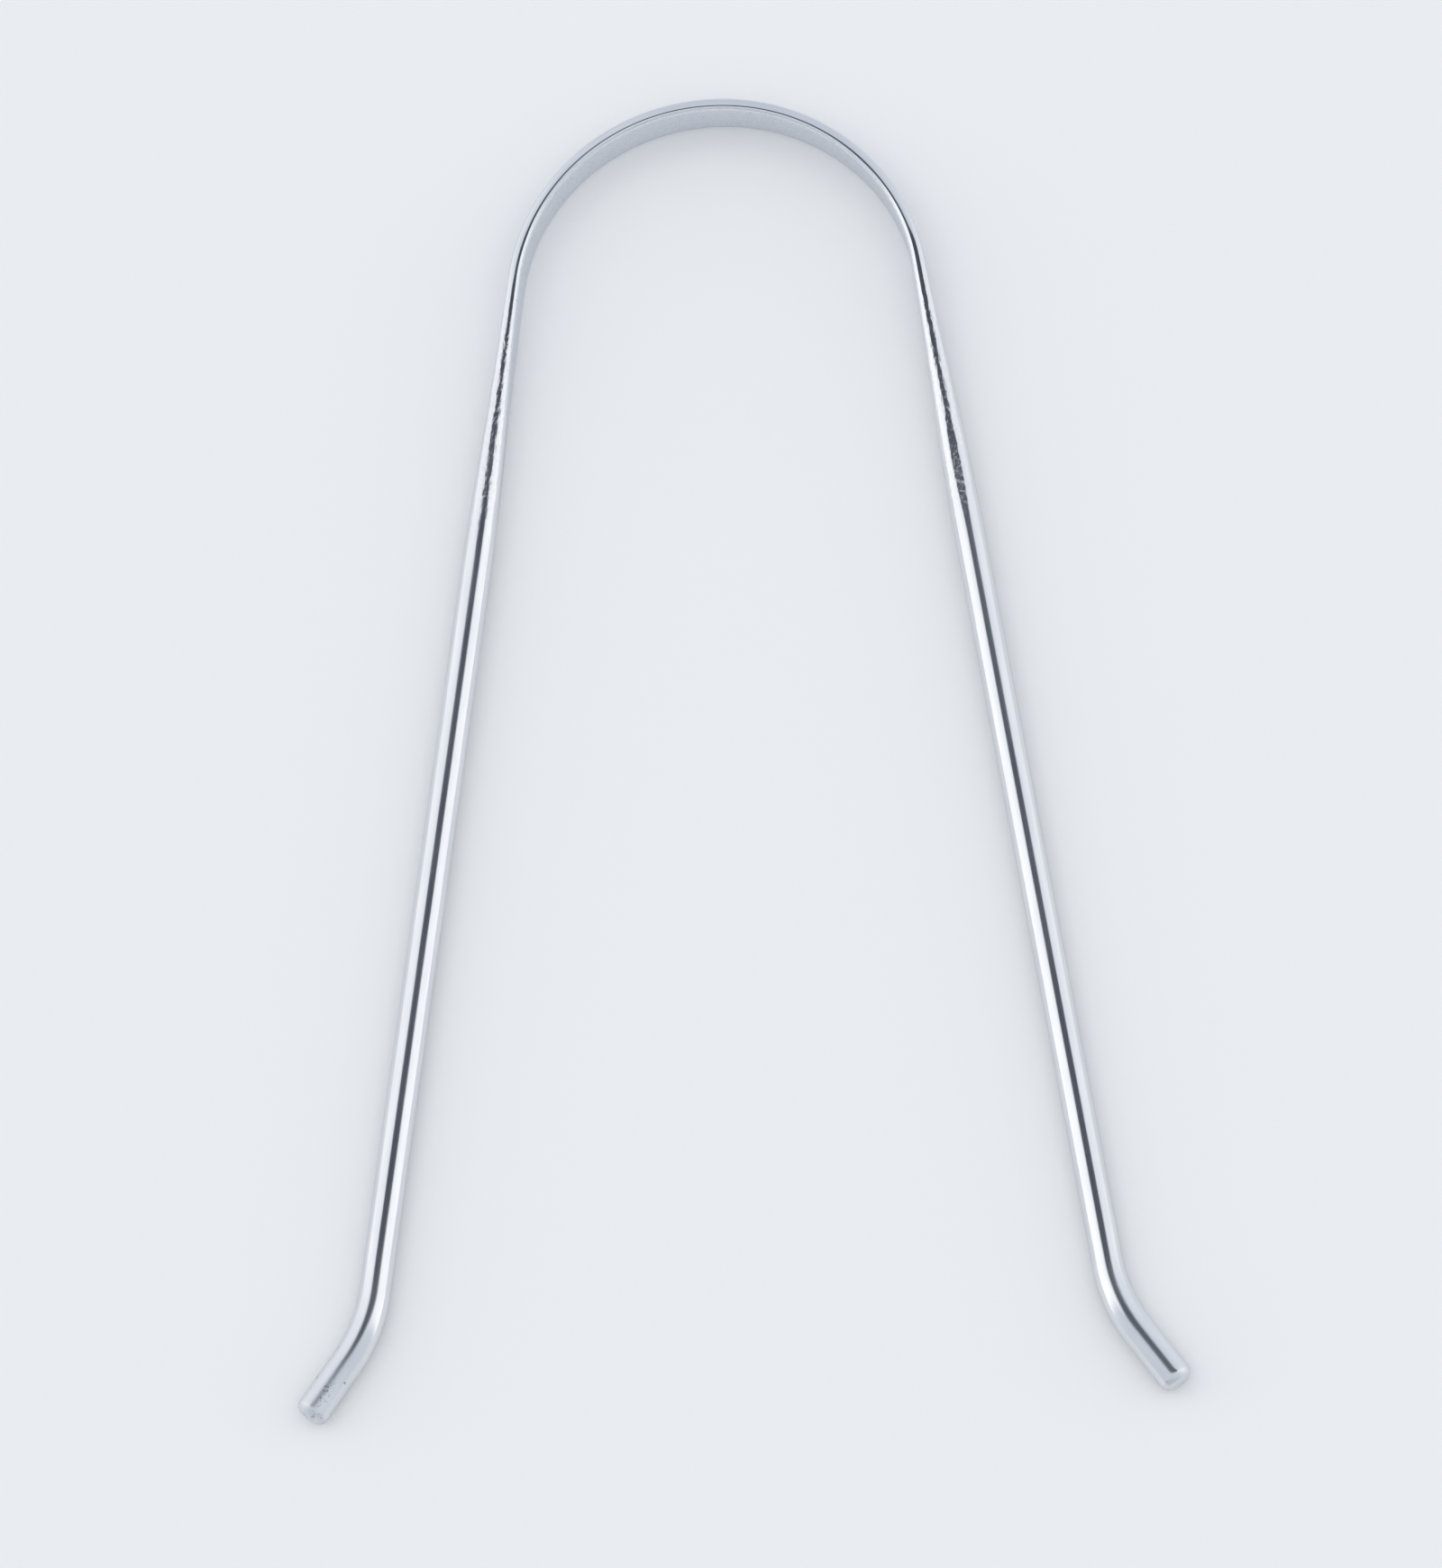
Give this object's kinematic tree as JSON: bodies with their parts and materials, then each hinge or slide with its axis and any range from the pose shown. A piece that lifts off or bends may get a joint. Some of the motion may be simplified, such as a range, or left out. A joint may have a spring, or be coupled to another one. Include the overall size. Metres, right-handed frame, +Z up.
{
  "type": "tongue scraper",
  "caption": "Bow-shaped tongue scraper bent from polished steel rod: a pressed flat band at the crown, straight round arms that splay, and flared rounded ends.",
  "frame": {"origin": "below the middle of the outline, at the height of the band's lower edge", "axes": "+X across the arms to the right, +Y along the tool towards the crown of the bow, +Z up, square to the plane of the rod"},
  "size_m": [0.0976, 0.1516, 0.006],
  "materials": {
    "polished_steel": "polished"
  },
  "bodies": {
    "bow": {"scraping_band": "polished_steel"},
    "left_arm": {"left_shoulder": "polished_steel", "left_taper": "polished_steel", "left_handle": "polished_steel", "left_flared_end": "polished_steel"},
    "right_arm": {"right_shoulder": "polished_steel", "right_taper": "polished_steel", "right_handle": "polished_steel", "right_flared_end": "polished_steel"}
  },
  "joints": [
    {"name": "left_arm_flex", "type": "hinge", "parent": "bow", "child": "left_arm", "pos_m": [-0.01501, 0.06953, 0.00298], "axis": [0, 0, 1], "range_deg": [-4, 6], "stiffness_Nm_per_rad": 8},
    {"name": "right_arm_flex", "type": "hinge", "parent": "bow", "child": "right_arm", "pos_m": [0.01501, 0.06953, 0.00298], "axis": [0, 0, -1], "range_deg": [-4, 6], "stiffness_Nm_per_rad": 8}
  ]
}
